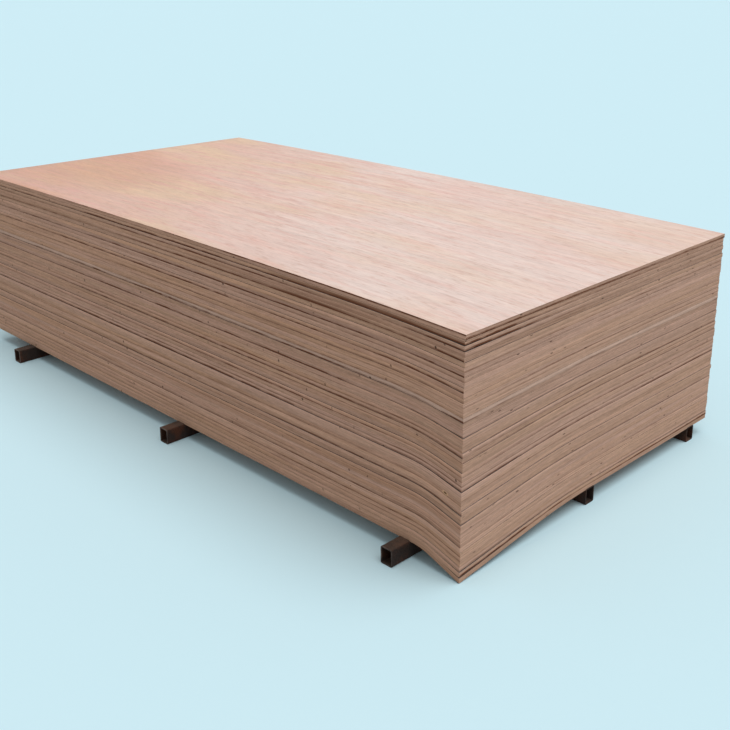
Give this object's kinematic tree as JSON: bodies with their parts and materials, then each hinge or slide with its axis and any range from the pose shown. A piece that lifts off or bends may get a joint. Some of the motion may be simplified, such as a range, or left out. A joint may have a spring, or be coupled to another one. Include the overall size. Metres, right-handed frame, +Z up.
{
  "type": "stack of plywood sheets",
  "caption": "Tall stack of reddish plywood sheets, bowed slightly and drooping at one corner, lying on a grid of rusty steel hollow-section bearers.",
  "frame": {"origin": "on the floor, under the middle of the stack", "axes": "+X along the sheets' length towards the drooping end, +Y across the sheets, +Z up"},
  "size_m": [2.4424, 1.354, 0.6794],
  "materials": {
    "plywood": "bare sanded hardwood-faced plywood, unsealed, with sawn edges that show the plies",
    "rusty_steel": "dark brown rusty mild steel hollow section, matt"
  },
  "bodies": {
    "root": {"sheet_01": "plywood", "sheet_02": "plywood", "sheet_03": "plywood", "sheet_04": "plywood", "sheet_05": "plywood", "sheet_06": "plywood", "sheet_07": "plywood", "sheet_08": "plywood", "sheet_09": "plywood", "sheet_10": "plywood", "sheet_11": "plywood", "sheet_12": "plywood", "sheet_13": "plywood", "sheet_14": "plywood", "sheet_15": "plywood", "sheet_16": "plywood", "sheet_17": "plywood", "sheet_18": "plywood", "sheet_19": "plywood", "sheet_20": "plywood", "sheet_21": "plywood", "sheet_22": "plywood", "sheet_23": "plywood", "sheet_24": "plywood", "sheet_25": "plywood", "sheet_26": "plywood", "sheet_27": "plywood", "sheet_28": "plywood", "sheet_29": "plywood", "sheet_30": "plywood", "sheet_31": "plywood", "sheet_32": "plywood", "sheet_33": "plywood", "sheet_34": "plywood", "sheet_35": "plywood", "sheet_36": "plywood", "sheet_37": "plywood", "sheet_38": "plywood", "sheet_39": "plywood", "sheet_40": "plywood", "sheet_41": "plywood", "sheet_42": "plywood", "sheet_43": "plywood", "sheet_44": "plywood", "sheet_45": "plywood", "sheet_46": "plywood", "sheet_47": "plywood", "sheet_48": "plywood", "sheet_49": "plywood", "sheet_50": "plywood", "cross_bearer_1": "rusty_steel", "cross_bearer_2": "rusty_steel", "cross_bearer_3": "rusty_steel", "lengthwise_bearer_1": "rusty_steel", "lengthwise_bearer_2": "rusty_steel"}
  },
  "joints": []
}
